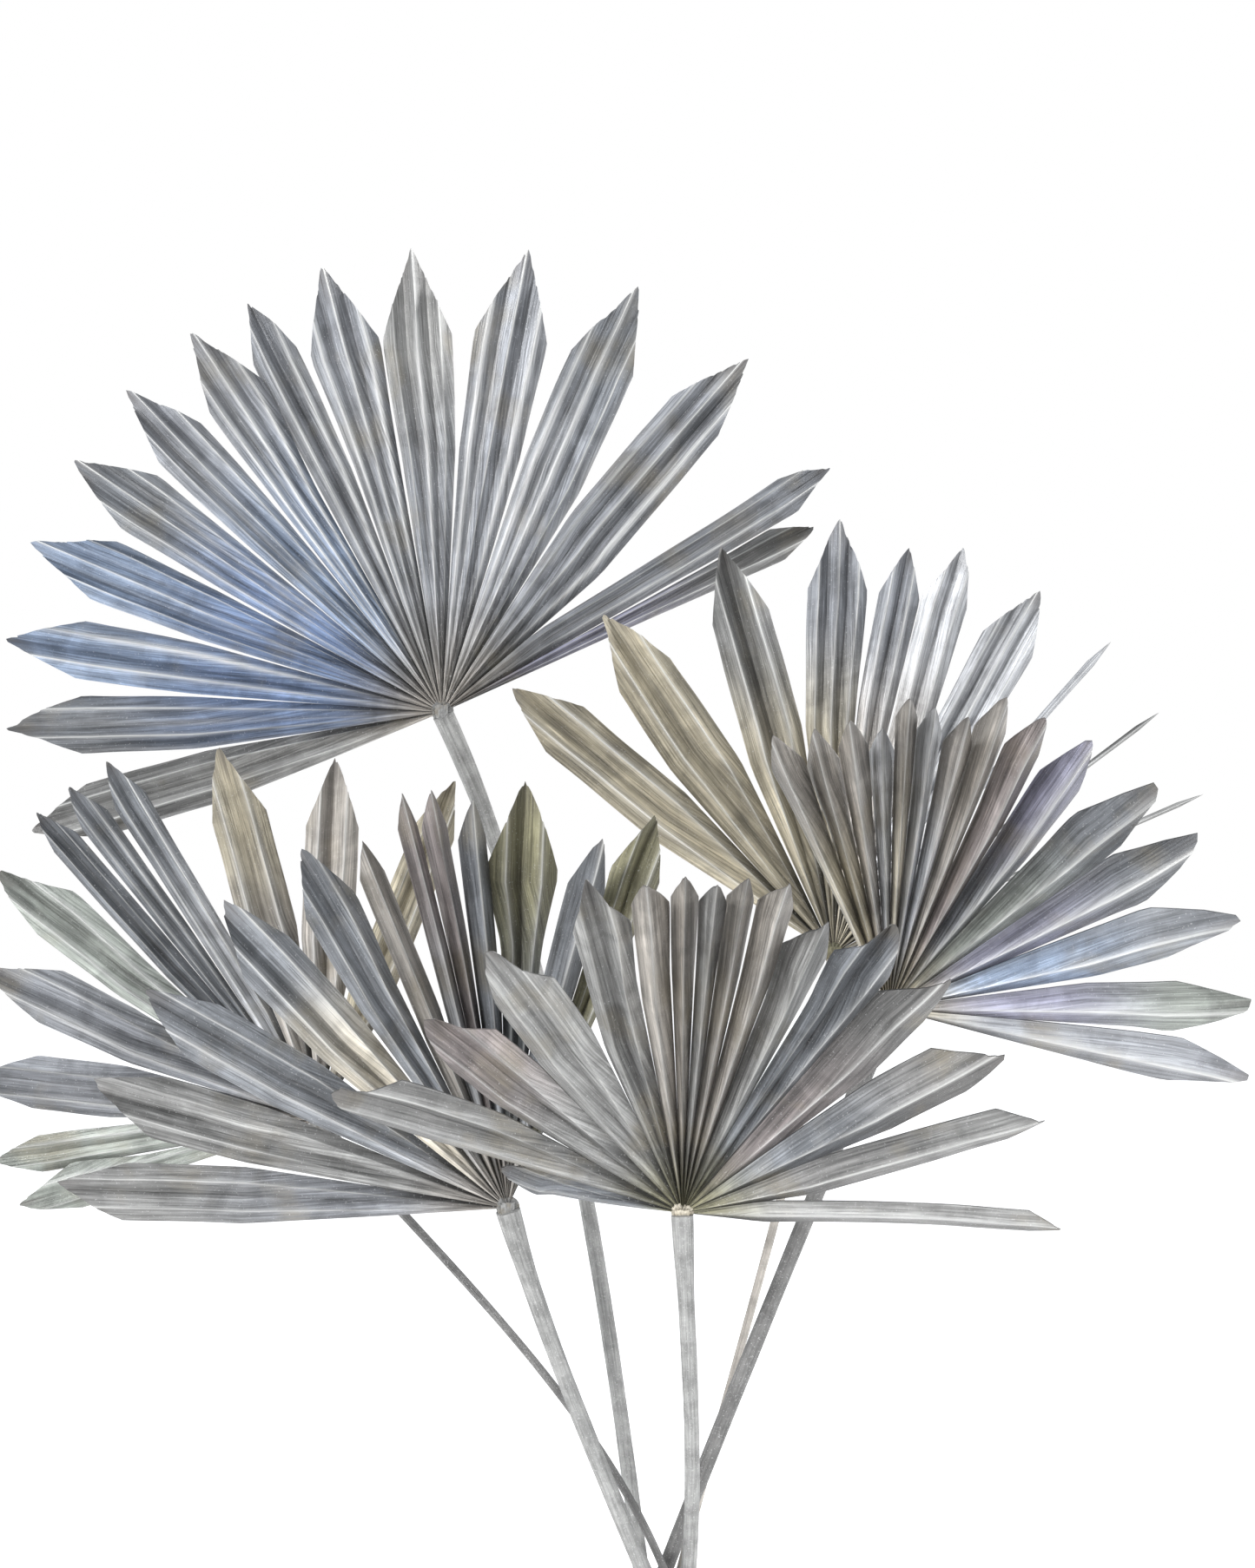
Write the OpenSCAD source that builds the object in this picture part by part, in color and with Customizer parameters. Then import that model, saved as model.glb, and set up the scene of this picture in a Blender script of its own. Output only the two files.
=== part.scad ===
// A hand-tied, free-standing bunch of six dried sun-palm fans, sprayed silver.
// Each fan is one leaf: a stem, the hastula where the stem meets the blade, and a pleated
// blade that is split into rays. The stems cross in a spiral inside a band and splay out
// below it, so the bunch stands on their cut ends. Millimetres and degrees, +Z is up.
// The viewer's side is -Y. The layout is drawn around the band's axis and then shifted, so
// that the origin is the middle of the bunch's footprint box, on the standing plane.

/* [Bunch] */
// Height of the band's middle above the standing plane
tie_z = 100; // [90:5:125]
// Distance from the band's axis to each stem's axis, inside the band
tie_r = 6.6; // [6.4:0.1:8]
// Height of the band
band_h = 9; // [6:1:12]
// Thickness of the band
band_t = 1.6; // [1:0.2:3]

/* [Stems] */
// Stem diameter at the cut end
foot_d = 6.4; // [5:0.1:7]
// Stem diameter inside the band
tie_d = 5.4; // [4.6:0.1:5.8]
// Stem diameter where it meets the hastula
neck_d = 6.2; // [5:0.1:7]

/* [Blades] */
// Thickness of the painted blade
leaf_t = 0.6; // [0.4:0.1:1]
// Share of the space between two rays that the blade fills where they are joined
fill = 0.94; // [0.85:0.01:0.97]
// Share of the tip's length that a ray's own edges run on for
edge_reach = 0.12; // [0.05:0.01:0.4]
// Length of the cut tip on the narrowest rays
shortest_tip = 10; // [8:0.5:14]
// Distance from the fan's centre to where its rays begin
root_r = 5; // [4:0.5:8]

/* [Hastulas] */
// Radius of the round pad at the fan's centre
hastula_r = 4.8; // [3.5:0.1:4.9]
// Thickness of that pad
hastula_t = 3.2; // [2:0.2:5]

/* [Hidden] */
// From the band's axis to the middle of the footprint box
shift = [20, 30.2, 0];

// A fan is [centre, lean towards -Y, turn about Z, place around the band, foot, neck slope,
// stem share, form, rays]. The neck slope is how far the stem runs in X and Y for each unit
// of height there, and the stem share scales its diameters.
// The form is [share of a ray's length at which it parts from its neighbours, length of its
// cut tip as a multiple of its width, how far towards its outer edge the point lies (0 to 1,
// or less than 0 for its inner edge), fullness of the tip (1 is a plain point, more is
// rounder)].
// A ray is [angle from the fan's own upright, length, width, pleats, panel slope, lift],
// where the lift is how far the tip rises off the blade's plane, towards its upper face.
BACK_LEFT = [[-74, 55, 389], -8, 0, 200, [7, -62], [-0.46, -0.4], 0.95,
    [0.56, 1.35, 0.12, 1.1], [
    [-106, 143, 18, 2, 30, 4], [-92, 146, 20, 2, 34, 0], [-80, 149, 20, 2, 38, -3],
    [-67, 150, 21, 3, 36, 0], [-55, 151, 21, 3, 36, 2], [-44, 153, 20, 3, 38, 0],
    [-33, 155, 21, 3, 38, 3], [-25, 156, 16, 2, 46, -3], [-15, 158, 23, 3, 36, 2],
    [-4, 159, 24, 3, 36, 0], [10, 160, 24, 3, 36, 3], [24, 160, 23, 3, 38, -2],
    [40, 158, 21, 3, 40, 2], [58, 154, 13, 2, 44, 6], [63, 141, 11, 2, 44, -6]]];
BACK_RIGHT = [[56, 35, 309], -4, 5, 68, [-24, -28], [0.18, 0.4], 0.5,
    [0.6, 1.25, 0.12, 1.15], [
    [-50, 138, 19, 2, 34, -4], [-34, 136, 21, 2, 36, 2], [-15, 140, 20, 2, 44, -2],
    [1, 144, 20, 3, 38, 2], [11, 138, 14, 2, 40, -4], [18, 142, 16, 2, 40, 2],
    [30, 140, 18, 3, 42, -3], [42, 139, 2.6, 1, 50, 3], [54, 137, 1.8, 1, 50, -4],
    [67, 135, 1.8, 1, 50, 2]]];
RIGHT = [[72, -5, 293], 33, 0, 126, [-42, -3], [0.4, 0.3], 0.95,
    [0.66, 1.4, -0.3, 1.2], [
    [-20, 118, 10.6, 1, 60, 3], [-14, 113, 10.5, 1, 60, -2], [-8, 117, 9.4, 1, 60, 3],
    [-3, 110, 7.6, 1, 64, -2], [1, 124, 7, 1, 66, 3], [5, 119, 8, 1, 66, -2],
    [10, 119, 9, 1, 64, 3], [15, 126, 10, 1, 64, -2], [21, 125, 11.5, 1, 60, 2],
    [30, 122, 14, 1, 50, 0], [42, 122, 19, 1, 38, 4], [56, 118, 20, 1, 34, -2],
    [70, 118, 20, 1, 32, 4], [90, 118, 19, 1, 30, -3], [102, 120, 18, 1, 28, 2]]];
FRONT = [[5, -55, 232], 33, 0, 8, [-4, 48], [-0.04, -0.15], 0.9,
    [0.7, 1, 0.25, 1.2], [
    [-76, 58, 12, 2, 36, -6], [-63, 119, 19, 2, 36, 5], [-46, 108, 20, 2, 38, -3],
    [-29, 118, 20, 2, 36, 4], [-13, 128, 18, 2, 44, -2], [-5, 132, 11, 1, 60, 3],
    [0, 131, 8.2, 1, 66, -2], [4, 132, 8.4, 1, 66, 3], [8, 132, 8.4, 1, 66, -2],
    [13, 134, 11.2, 1, 58, 2], [20, 122, 14, 1, 54, -2], [29, 129, 19, 2, 48, 3],
    [40, 122, 19, 1, 36, -2], [55, 118, 19, 1, 34, 3], [71, 117, 13, 1, 34, -2],
    [89, 117, 8, 1, 30, 9]]];
LEFT = [[-50, -30, 231], 8, 12, 256, [39, 14], [-0.26, -0.4], 1,
    [0.62, 1.3, -0.3, 1.25], [
    [-86, 143, 18, 2, 24, 4], [-73, 138, 19, 2, 24, -3], [-59, 137, 19, 2, 26, 4],
    [-44, 135, 19, 2, 28, -2], [-31, 135, 17, 2, 38, 3], [-23, 128, 8, 1, 60, -3],
    [-16, 139, 6, 1, 66, 3], [-12, 137, 8, 1, 62, -3], [-7, 133, 9, 1, 58, 3],
    [1, 136, 22, 2, 42, -2], [12, 122, 12, 1, 44, 3], [20, 133, 16, 2, 36, -3]]];
FAR_LEFT = [[-112, 8, 256], 6, 0, 312, [38, -15], [-0.91, 0.4], 0.5,
    [0.58, 1.4, 0.1, 1.2], [
    [-105, 101, 15, 2, 28, 3], [-97, 107, 12, 2, 30, -4], [-82, 116, 18, 2, 30, 3],
    [-65, 119, 18, 2, 30, -2], [-51, 132, 18, 2, 32, 3], [-42, 135, 10, 2, 40, -3],
    [-36, 135, 10, 2, 40, 2], [-30, 135, 11, 2, 38, -3], [-14, 126, 18, 2, 34, 3],
    [3, 118, 17, 2, 36, -3], [22, 120, 14, 2, 36, 3]]];

function mix(a, b, t) = a + (b - a) * t;
function unit(v) = v / norm(v);

// ---- One ray of a blade ----

// Half the angle between a ray and its neighbour on one side: an end ray repeats its other
// side, and no half is wider than 9 degrees
function half_gap(rays, i, side) =
    let (n = len(rays), j = (i + side < 0 || i + side >= n) ? i - side : i + side)
    min(9, abs(rays[j][0] - rays[i][0]) / 2);

// Length of the cut tip. A leaning blade hides part of it behind its pleats' crests, so it is
// longer by about half their height.
function tip_length(ray, form) =
    max(shortest_tip, ray[2] * form[1]) + 0.55 * ray[2] * tan(ray[4]) / (2 * ray[3]);

// Half width at distance r: it fills the sector while joined, but is never wider than its
// own free width, then runs to its widest place and stays that wide
function half_width(r, ray, gap, form) =
    let (r_split = ray[1] * form[0], r_wide = ray[1] - tip_length(ray, form),
         joined = min(ray[2] / 2, fill * r_split * tan(gap)))
    r <= r_split ? min(ray[2] / 2, fill * r * tan(gap)) :
    mix(joined, ray[2] / 2, min(1, (r - r_split) / (r_wide - r_split)));

// The tip is cut, not drawn in: past the widest place each pleat line runs straight on, as
// far as this share of the tip's length, where across goes from -1 to 1. The point lies off
// the ray's middle by the skew, and both edges run back as far.
function cut_reach(across, skew, fullness) =
    mix(1, edge_reach, pow(abs(across - skew) / (1 - sign(across - skew) * skew), fullness));
function tip_skew(ray, form) = form[2] * max(-1, min(1, ray[0] / 40));

// The places of a ray's cross-sections: [share of its length, share of the cut tip]
function steps(ray, form) =
    let (widest = 1 - tip_length(ray, form) / ray[1])
    [[0, 0], [form[0] / 2, 0], [form[0], 0], [widest, 0], [widest, 0.5], [widest, 1]];

// One cross-section, in the blade's own frame: the pleats' zigzag on the upper face, then
// the same line a thickness lower, walked back
function section(ray, gaps, form, step) =
    let (r = max(root_r, ray[1] * step[0]), n = ray[3], tip = tip_length(ray, form),
         low = -half_width(r, ray, gaps[0], form), high = half_width(r, ray, gaps[1], form),
         panel = (high - low) / (2 * n), depth = panel * tan(ray[4]),
         half_t = leaf_t / 2 / cos(ray[4]), skew = tip_skew(ray, form))
    [for (side = [1, -1])
        for (k = [0 : 2 * n])
            let (j = side > 0 ? k : 2 * n - k, x = low + j * panel,
                 out = r + tip * step[1] * cut_reach(j / n - 1, skew, form[3]),
                 w = ray[5] * pow(out / ray[1], 3) + (j % 2) * depth + side * half_t)
            [out * sin(ray[0]) + x * cos(ray[0]), -w, out * cos(ray[0]) - x * sin(ray[0])]];

// Triangles that close the tube between rings of m points, and its two ends. Each end is a
// strip between the ring's upper line and its lower one.
function tube_sides(rings, m) = [for (i = [0 : rings - 2]) for (j = [0 : m - 1])
    let (a = i * m + j, b = i * m + (j + 1) % m)
    each [[a, b, a + m], [b, b + m, a + m]]];
function strip_end(first, m, flip) = [for (j = [0 : m / 2 - 2])
    let (a = first + j, b = first + j + 1, c = first + m - 2 - j, d = first + m - 1 - j)
    each flip ? [[a, b, d], [b, c, d]] : [[a, d, b], [b, d, c]]];

module ray_solid(rays, i, form) {
    gaps = [half_gap(rays, i, -1), half_gap(rays, i, 1)];
    m = 4 * rays[i][3] + 2;
    places = steps(rays[i], form);
    points = [for (step = places) each section(rays[i], gaps, form, step)];
    polyhedron(points, concat(tube_sides(len(places), m), strip_end(0, m, false),
                              strip_end((len(places) - 1) * m, m, true)));
}

// ---- The sub-parts of a fan ----

module in_blade(fan) { translate(shift + fan[0]) rotate([fan[1], 0, fan[2]]) children(); }

// The rays whose angles lie from low up to high
module rays_between(fan, low, high) {
    rays = fan[8];
    in_blade(fan)
        for (i = [0 : len(rays) - 1]) if (rays[i][0] >= low && rays[i][0] < high)
            ray_solid(rays, i, fan[7]);
}

module hastula(fan) {
    in_blade(fan) {
        rotate([90, 0, 0]) cylinder(r = hastula_r, h = hastula_t, center = true, $fn = 48);
        translate([-2.4, -hastula_t / 2 - 1, -2.4]) cube([4.8, 1.4, 4.8]);
    }
}

// A stem runs straight from its cut end through the band, and on in a cubic curve to just
// short of the fan's centre
function tie_point(fan) = [tie_r * cos(fan[3]), tie_r * sin(fan[3]), tie_z];
function foot_point(fan) = [fan[4][0], fan[4][1], 0];
function neck_dir(fan) = unit([fan[5][0], fan[5][1], 1]);
function cubic(p, t) = p[0] * pow(1 - t, 3) + 3 * p[1] * t * pow(1 - t, 2)
    + 3 * p[2] * pow(t, 2) * (1 - t) + p[3] * pow(t, 3);
function stem_path(fan) =
    let (tie = tie_point(fan), foot = foot_point(fan), end = fan[0] - 4.6 * neck_dir(fan),
         reach = norm(end - tie) / 3,
         curve = [tie, tie + reach * unit(tie - foot), end - reach * neck_dir(fan), end])
    concat([for (t = [0, 0.5]) mix(foot, tie, t)], [for (t = [0 : 0.1 : 1]) cubic(curve, t)]);

// Direction of the path at point i
function along(path, i) = unit(path[min(i + 1, len(path) - 1)] - path[max(i - 1, 0)]);
stem_sides = 12;
function stem_ring(path, i, d) =
    let (t = along(path, i), e1 = unit(cross([0, 1, 0], t)), e2 = cross(t, e1))
    [for (k = [0 : stem_sides - 1])
        let (a = k * 360 / stem_sides, p = path[i] + d / 2 * (cos(a) * e1 + sin(a) * e2))
        i == 0 ? p - t * (p[2] / t[2]) : p];

module stem(fan) {
    path = stem_path(fan);
    last = len(path) - 1;
    d = [for (i = [0 : last]) fan[6] * (i < 2 ? mix(foot_d, tie_d, i / 2) :
        mix(tie_d, neck_d, pow((i - 2) / (last - 2), 3)))];
    points = [for (i = [0 : last]) each stem_ring(path, i, d[i])];
    ends = [[for (k = [stem_sides - 1 : -1 : 0]) k],
            [for (k = [0 : stem_sides - 1]) last * stem_sides + k]];
    translate(shift) polyhedron(points, concat(tube_sides(last + 1, stem_sides), ends));
}

// ---- The nodes ----

SILVER = [0.62, 0.63, 0.66];
TAN = [0.66, 0.61, 0.52];
module leafy() { color(SILVER) children(); }
module woody() { color([0.6, 0.58, 0.55]) children(); }
module padded() { color(TAN) children(); }

module back_left_stem() { woody() stem(BACK_LEFT); }
module back_left_hastula() { padded() hastula(BACK_LEFT); }
module back_left_rays_left() { leafy() rays_between(BACK_LEFT, -180, -50); }
module back_left_rays_top() { leafy() rays_between(BACK_LEFT, -50, 20); }
module back_left_rays_right() { leafy() rays_between(BACK_LEFT, 20, 180); }

module back_right_stem() { woody() stem(BACK_RIGHT); }
module back_right_hastula() { padded() hastula(BACK_RIGHT); }
module back_right_rays_left() { leafy() rays_between(BACK_RIGHT, -180, -10); }
module back_right_rays_top() { leafy() rays_between(BACK_RIGHT, -10, 25); }
module back_right_rays_right() { leafy() rays_between(BACK_RIGHT, 25, 180); }

module right_stem() { woody() stem(RIGHT); }
module right_hastula() { padded() hastula(RIGHT); }
module right_rays_left() { leafy() rays_between(RIGHT, -180, 8); }
module right_rays_top() { leafy() rays_between(RIGHT, 8, 40); }
module right_rays_right() { leafy() rays_between(RIGHT, 40, 180); }

module front_stem() { woody() stem(FRONT); }
module front_hastula() { padded() hastula(FRONT); }
module front_rays_left() { leafy() rays_between(FRONT, -180, -10); }
module front_rays_top() { leafy() rays_between(FRONT, -10, 18); }
module front_rays_right() { leafy() rays_between(FRONT, 18, 180); }

module left_stem() { woody() stem(LEFT); }
module left_hastula() { padded() hastula(LEFT); }
module left_rays_left() { leafy() rays_between(LEFT, -180, -40); }
module left_rays_top() { leafy() rays_between(LEFT, -40, -10); }
module left_rays_right() { leafy() rays_between(LEFT, -10, 180); }

module far_left_stem() { woody() stem(FAR_LEFT); }
module far_left_hastula() { padded() hastula(FAR_LEFT); }
module far_left_rays_left() { leafy() rays_between(FAR_LEFT, -180, -60); }
module far_left_rays_top() { leafy() rays_between(FAR_LEFT, -60, -20); }
module far_left_rays_right() { leafy() rays_between(FAR_LEFT, -20, 180); }

// The band grips the six stems where they cross
module binding_band() {
    inner = tie_r + tie_d / 2 + 1.7;
    color([0.55, 0.55, 0.56]) translate(shift + [0, 0, tie_z]) rotate_extrude($fn = 72) {
        translate([inner, -band_h / 2 + band_t / 2]) square([band_t, band_h - band_t]);
        for (side = [-1, 1])
            translate([inner + band_t / 2, side * (band_h - band_t) / 2])
                circle(d = band_t, $fn = 24);
    }
}

back_left_stem();
back_left_hastula();
back_left_rays_left();
back_left_rays_top();
back_left_rays_right();
back_right_stem();
back_right_hastula();
back_right_rays_left();
back_right_rays_top();
back_right_rays_right();
right_stem();
right_hastula();
right_rays_left();
right_rays_top();
right_rays_right();
front_stem();
front_hastula();
front_rays_left();
front_rays_top();
front_rays_right();
left_stem();
left_hastula();
left_rays_left();
left_rays_top();
left_rays_right();
far_left_stem();
far_left_hastula();
far_left_rays_left();
far_left_rays_top();
far_left_rays_right();
binding_band();
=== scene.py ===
"""Looks of a free-standing bunch of six dried sun-palm fans, sprayed silver.

Each fan is built here again, finer, on the layout that the CAD part has: every ray is a
pleated leaf with ribs along its folds, a cut tip and a little warp of its own. Lengths are
millimetres and angles are degrees, as in the part, and MM turns the finished points to
metres. The stage, the lights and the camera are in metres from the start.
"""

import math

import bpy
import numpy as np
from mathutils import Matrix, Vector


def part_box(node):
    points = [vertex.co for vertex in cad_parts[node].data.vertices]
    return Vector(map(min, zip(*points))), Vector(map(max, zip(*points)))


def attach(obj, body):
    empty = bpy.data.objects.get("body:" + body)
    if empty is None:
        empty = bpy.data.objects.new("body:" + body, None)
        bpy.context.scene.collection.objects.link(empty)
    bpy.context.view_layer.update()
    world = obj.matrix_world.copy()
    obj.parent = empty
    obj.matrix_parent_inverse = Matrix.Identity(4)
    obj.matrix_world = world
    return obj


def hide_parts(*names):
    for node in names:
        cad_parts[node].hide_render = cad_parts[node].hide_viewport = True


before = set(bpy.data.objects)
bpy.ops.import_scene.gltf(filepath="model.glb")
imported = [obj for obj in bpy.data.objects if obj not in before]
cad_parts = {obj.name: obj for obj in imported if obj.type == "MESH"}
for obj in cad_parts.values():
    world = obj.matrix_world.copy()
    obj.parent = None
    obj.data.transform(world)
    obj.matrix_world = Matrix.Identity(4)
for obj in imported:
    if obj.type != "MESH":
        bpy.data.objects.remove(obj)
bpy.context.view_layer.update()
MM = 0.001

# ---- The layout, as in the part ----

# Distance from the band's axis to each stem's axis, inside the band
TIE_R = 6.6
# Stem diameter at the cut end, inside the band and where it meets the hastula
FOOT_D, TIE_D, NECK_D = 6.4, 5.4, 6.2
# Thickness of the blade
LEAF_T = 0.6
# Share of the space between two rays that the blade fills where they are joined
FILL = 0.94
# A cut tip: the share of its length that a ray's own edges run on for, its least length,
# and the share of the pleats' height that it gains
EDGE_REACH, SHORTEST_TIP, CREST_GAIN = 0.12, 10.0, 0.55
# Where a ray's pleats begin, from the fan's centre, hidden under the hastula
RAY_START = 2.0

# Paint tones: silver over dried leaf
TONES = {
    "silver": (0.24, 0.25, 0.27),
    "pale": (0.46, 0.47, 0.49),
    "steel": (0.22, 0.275, 0.37),
    "blue": (0.20, 0.27, 0.42),
    "violet": (0.27, 0.27, 0.35),
    "tan": (0.42, 0.38, 0.29),
    "olive": (0.20, 0.19, 0.12),
    "dark": (0.09, 0.10, 0.105),
    "slate": (0.17, 0.18, 0.195),
    "grey": (0.245, 0.245, 0.24),
    "warm": (0.36, 0.335, 0.305),
    "pink": (0.27, 0.24, 0.235),
    "dim": (0.15, 0.148, 0.145),
    "green": (0.27, 0.29, 0.265),
    "cream": (0.60, 0.55, 0.45),
}

# A fan: its centre about the band's axis, its lean towards -Y and its turn about Z, the
# stem's place round the band, its foot, its slope at the neck and its share of the stem
# diameters, and the two angles that cut the rays into three groups. Its shine is the
# strength of the painted highlight bands on its folds, and partly of the pale ribs.
# The form is: share of a ray's length at which it parts from its neighbours, length of its
# cut tip in widths, how far towards its outer edge the point lies (less than 0 for the
# inner edge), and fullness of its tip.
# A ray: angle, length, width, pleats, panel slope, lift, twist, tone. The first six are the
# part's; the twist turns the ray's free end about its own length. A tone is "inner/outer",
# or one name for the whole ray.
FANS = {
    "back_left": {
        "centre": (-74, 55, 389), "lean": -8, "turn": 0, "place": 200, "foot": (7, -62),
        "neck": (-0.46, -0.4), "thick": 0.95, "form": (0.56, 1.35, 0.12, 1.1),
        "cuts": (-50, 20), "root_tone": "warm", "stem_tone": "grey", "pad_tone": "grey",
        "shine": 1.15, "rays": [
            (-106, 143, 18, 2, 30, 4, 10, "grey"), (-92, 146, 20, 2, 34, 0, -8, "blue/slate"),
            (-80, 149, 20, 2, 38, -3, 6, "blue/steel"), (-67, 150, 21, 3, 36, 0, -6, "blue/steel"),
            (-55, 151, 21, 3, 36, 2, 8, "blue/slate"), (-44, 153, 20, 3, 38, 0, -5, "steel/silver"),
            (-33, 155, 21, 3, 38, 3, 6, "steel/silver"), (-25, 156, 16, 2, 46, -3, -8, "silver"),
            (-15, 158, 23, 3, 36, 2, 4, "silver"), (-4, 159, 24, 3, 36, 0, 0, "silver/grey"),
            (10, 160, 24, 3, 36, 3, -5, "silver"), (24, 160, 23, 3, 38, -2, 6, "silver/slate"),
            (40, 158, 21, 3, 40, 2, -6, "silver"), (58, 154, 13, 2, 44, 6, 8, "silver"),
            (63, 141, 11, 2, 44, -6, -8, "violet/grey")]},
    "back_right": {
        "centre": (56, 35, 309), "lean": -4, "turn": 5, "place": 68, "foot": (-24, -28),
        "neck": (0.18, 0.4), "thick": 0.5, "form": (0.6, 1.25, 0.12, 1.15),
        "cuts": (-10, 25), "root_tone": "tan", "stem_tone": "warm", "pad_tone": "olive",
        "shine": 0.9, "rays": [
            (-50, 138, 19, 2, 34, -4, 8, "tan"), (-34, 136, 21, 2, 36, 2, -8, "tan"),
            (-15, 140, 20, 2, 44, -2, 8, "tan/grey"), (1, 144, 20, 3, 38, 2, -4, "tan/silver"),
            (11, 138, 14, 2, 40, -4, 8, "warm/silver"), (18, 142, 16, 2, 40, 2, -8, "warm/pale"),
            (30, 140, 18, 3, 42, -3, 6, "pale"), (42, 139, 2.6, 1, 50, 3, 0, "pale"),
            (54, 137, 1.8, 1, 50, -4, 0, "grey"), (67, 135, 1.8, 1, 50, 2, 0, "grey")]},
    "right": {
        "centre": (72, -5, 293), "lean": 33, "turn": 0, "place": 126, "foot": (-42, -3),
        "neck": (0.4, 0.3), "thick": 0.95, "form": (0.66, 1.4, -0.3, 1.2),
        "cuts": (8, 40), "root_tone": "tan", "stem_tone": "dim", "pad_tone": "olive",
        "shine": 0.5, "rays": [
            (-20, 118, 10.6, 1, 60, 3, 0, "tan/warm"), (-14, 113, 10.5, 1, 60, -2, 0, "tan/warm"),
            (-8, 117, 9.4, 1, 60, 3, 0, "warm"), (-3, 110, 7.6, 1, 64, -2, 0, "pale"),
            (1, 124, 7, 1, 66, 3, 0, "cream/warm"), (5, 119, 8, 1, 66, -2, 0, "pale"),
            (10, 119, 9, 1, 64, 3, 0, "pale/warm"), (15, 126, 10, 1, 64, -2, 0, "warm"),
            (21, 125, 11.5, 1, 60, 2, 0, "pink"), (30, 122, 14, 1, 50, 0, 4, "slate/violet"),
            (42, 122, 19, 1, 38, 4, -6, "green/slate"), (56, 118, 20, 1, 34, -2, 6, "violet/slate"),
            (70, 118, 20, 1, 32, 4, -6, "steel/slate"), (90, 118, 19, 1, 30, -3, 8, "violet/green"),
            (102, 120, 18, 1, 28, 2, -8, "silver")]},
    "front": {
        "centre": (5, -55, 232), "lean": 33, "turn": 0, "place": 8, "foot": (-4, 48),
        "neck": (-0.04, -0.15), "thick": 0.9, "form": (0.7, 1, 0.25, 1.2),
        "cuts": (-10, 18), "root_tone": "olive", "stem_tone": "grey", "pad_tone": "cream",
        "shine": 0.25, "rays": [
            (-76, 58, 12, 2, 36, -6, 0, "slate"), (-63, 119, 19, 2, 36, 5, 10, "grey"),
            (-46, 108, 20, 2, 38, -3, -8, "grey/pink"), (-29, 118, 20, 2, 36, 4, 8, "grey"),
            (-13, 128, 18, 2, 44, -2, -4, "grey"), (-5, 132, 11, 1, 60, 3, 0, "warm"),
            (0, 131, 8.2, 1, 66, -2, 0, "warm"), (4, 132, 8.4, 1, 66, 3, 0, "grey"),
            (8, 132, 8.4, 1, 66, -2, 0, "warm"), (13, 134, 11.2, 1, 58, 2, 0, "warm"),
            (20, 122, 14, 1, 54, -2, 0, "grey"), (29, 129, 19, 2, 48, 3, 4, "slate"),
            (40, 122, 19, 1, 36, -2, -6, "pink/dim"), (55, 118, 19, 1, 34, 3, 6, "slate/dim"),
            (71, 117, 13, 1, 34, -2, -6, "dim/grey"), (89, 117, 8, 1, 30, 9, 0, "grey")]},
    "left": {
        "centre": (-50, -30, 231), "lean": 8, "turn": 12, "place": 256, "foot": (39, 14),
        "neck": (-0.26, -0.4), "thick": 1.0, "form": (0.62, 1.3, -0.3, 1.25),
        "cuts": (-40, -10), "root_tone": "warm", "stem_tone": "grey", "pad_tone": "grey",
        "shine": 0.35, "rays": [
            (-86, 143, 18, 2, 24, 4, 8, "silver/grey"), (-73, 138, 19, 2, 24, -3, -8, "grey"),
            (-59, 137, 19, 2, 26, 4, 8, "slate"), (-44, 135, 19, 2, 28, -2, -8, "cream/slate"),
            (-31, 135, 17, 2, 38, 3, 6, "slate"), (-23, 128, 8, 1, 60, -3, 0, "warm"),
            (-16, 139, 6, 1, 66, 3, 0, "pale/pink"), (-12, 137, 8, 1, 62, -3, 0, "pink"),
            (-7, 133, 9, 1, 58, 3, 0, "slate"), (1, 136, 22, 2, 42, -2, 6, "dark/olive"),
            (12, 122, 12, 1, 44, 3, -6, "slate"), (20, 133, 16, 2, 36, -3, 6, "olive")]},
    "far_left": {
        "centre": (-112, 8, 256), "lean": 6, "turn": 0, "place": 312, "foot": (38, -15),
        "neck": (-0.91, 0.4), "thick": 0.5, "form": (0.58, 1.4, 0.1, 1.2),
        "cuts": (-60, -20), "root_tone": "warm", "stem_tone": "dim", "pad_tone": "grey",
        "shine": 0.5, "rays": [
            (-105, 101, 15, 2, 28, 3, 8, "green"), (-97, 107, 12, 2, 30, -4, -8, "green"),
            (-82, 116, 18, 2, 30, 3, 8, "silver"), (-65, 119, 18, 2, 30, -2, -8, "silver"),
            (-51, 132, 18, 2, 32, 3, 8, "green"), (-42, 135, 10, 2, 40, -3, 0, "slate"),
            (-36, 135, 10, 2, 40, 2, 0, "slate"), (-30, 135, 11, 2, 38, -3, 0, "pale/slate"),
            (-14, 126, 18, 2, 34, 3, 8, "warm/tan"), (3, 118, 17, 2, 36, -3, -8, "warm"),
            (22, 120, 14, 2, 36, 3, 8, "tan")]},
}

# The band's axis and the height of its middle, in metres
band_low, band_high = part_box("binding_band")
AXIS = Vector(((band_low[0] + band_high[0]) / 2, (band_low[1] + band_high[1]) / 2, 0))
TIE_Z = (band_low[2] + band_high[2]) / 2

# ---- Small helpers ----

# The range of a random phase, close to a full turn
ANY_PHASE = 6.28
# A little over a full turn, so that a map that goes round stays inside its square
MAP_TURN = 6.3


def ease(low, high, value):
    """0 below low, 1 above high, and a smooth rise between them."""
    t = np.clip((value - low) / (high - low), 0, 1)
    return t * t * (3 - 2 * t)


def mix(a, b, t):
    """a where t is 0, b where t is 1."""
    return a + (b - a) * t


def unit(v):
    """The vector at length 1."""
    return v / np.linalg.norm(v)


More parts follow.
